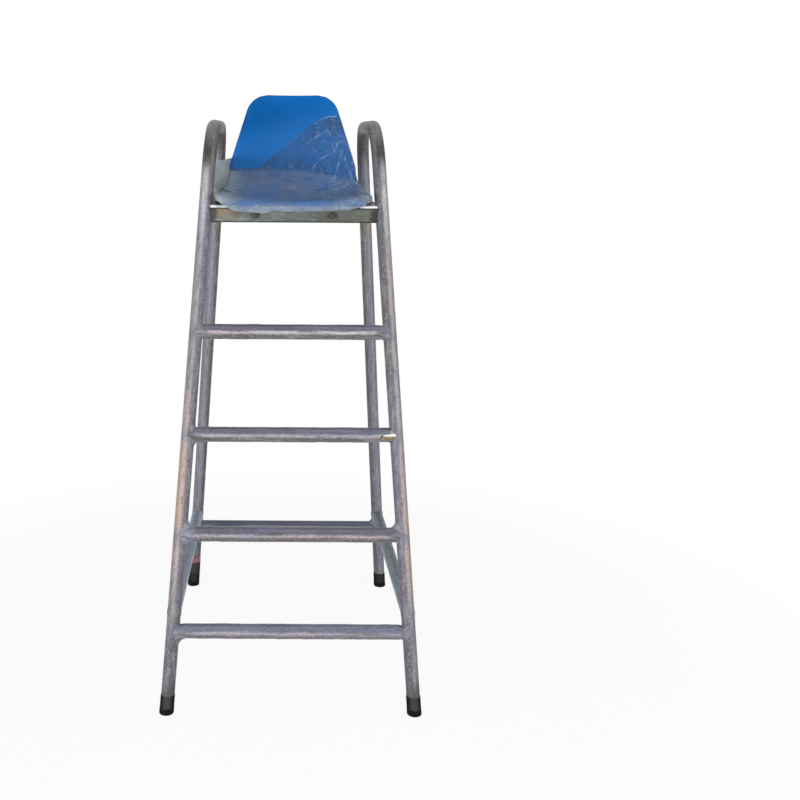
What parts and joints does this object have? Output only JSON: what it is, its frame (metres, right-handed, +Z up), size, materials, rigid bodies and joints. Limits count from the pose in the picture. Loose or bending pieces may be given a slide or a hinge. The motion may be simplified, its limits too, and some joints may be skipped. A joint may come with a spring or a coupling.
{
  "type": "lifeguard chair",
  "caption": "Tall lifeguard chair: bent-tube side frames with armrests, ladder steps in front and a moulded plastic seat, partly in its packing film.",
  "frame": {"origin": "on the floor, in the middle of the chair's width and depth", "axes": "+Z up; the sitter faces -Y and the steps are on that side; +X is to the right as seen from the front"},
  "size_m": [0.7412, 0.9496, 1.7011],
  "materials": {
    "tube": "dull, mottled grey steel",
    "sleeve": "clear film in many layers over grey steel",
    "rail": "dull grey steel with a green cast",
    "plate": "dull grey steel",
    "fastener": "dark, plain",
    "rubber": "matt black",
    "shell": "saturated blue, satin",
    "film": "hazy clear film with creases"
  },
  "bodies": {
    "root": {"front_leg_left": "tube", "front_leg_right": "tube", "rear_leg_left": "tube", "rear_leg_right": "tube", "arm_hoop_left": "tube", "arm_hoop_right": "tube", "foot_cap_front_left": "rubber", "foot_cap_front_right": "rubber", "foot_cap_rear_left": "rubber", "foot_cap_rear_right": "rubber", "step_1": "tube", "step_2": "tube", "step_3": "tube", "step_4": "tube", "step_sleeve_1": "sleeve", "step_sleeve_2": "sleeve", "step_sleeve_3": "sleeve", "step_sleeve_4": "sleeve", "rear_crossbar": "tube", "side_stretcher_left": "tube", "side_stretcher_right": "tube", "front_seat_rail": "rail", "rear_seat_rail": "rail", "side_seat_rail_left": "rail", "side_seat_rail_right": "rail", "corner_plate_left": "plate", "corner_plate_right": "plate", "seat_strap_left": "plate", "seat_strap_right": "plate", "rail_bolt_front_left": "fastener", "rail_bolt_front_right": "fastener", "rail_bolt_rear_left": "fastener", "rail_bolt_rear_right": "fastener", "rail_washer_front_left": "fastener", "rail_washer_front_right": "fastener", "rail_washer_rear_left": "fastener", "rail_washer_rear_right": "fastener", "rail_nut_front_left": "fastener", "rail_nut_front_right": "fastener", "rail_nut_rear_left": "fastener", "rail_nut_rear_right": "fastener", "seat_bolt_front_left": "fastener", "seat_bolt_front_right": "fastener", "seat_bolt_rear_left": "fastener", "seat_bolt_rear_right": "fastener", "seat_washer_front_left": "fastener", "seat_washer_front_right": "fastener", "seat_washer_rear_left": "fastener", "seat_washer_rear_right": "fastener", "seat_shell": "shell", "seat_film": "film", "side_film": "film"}
  },
  "joints": []
}
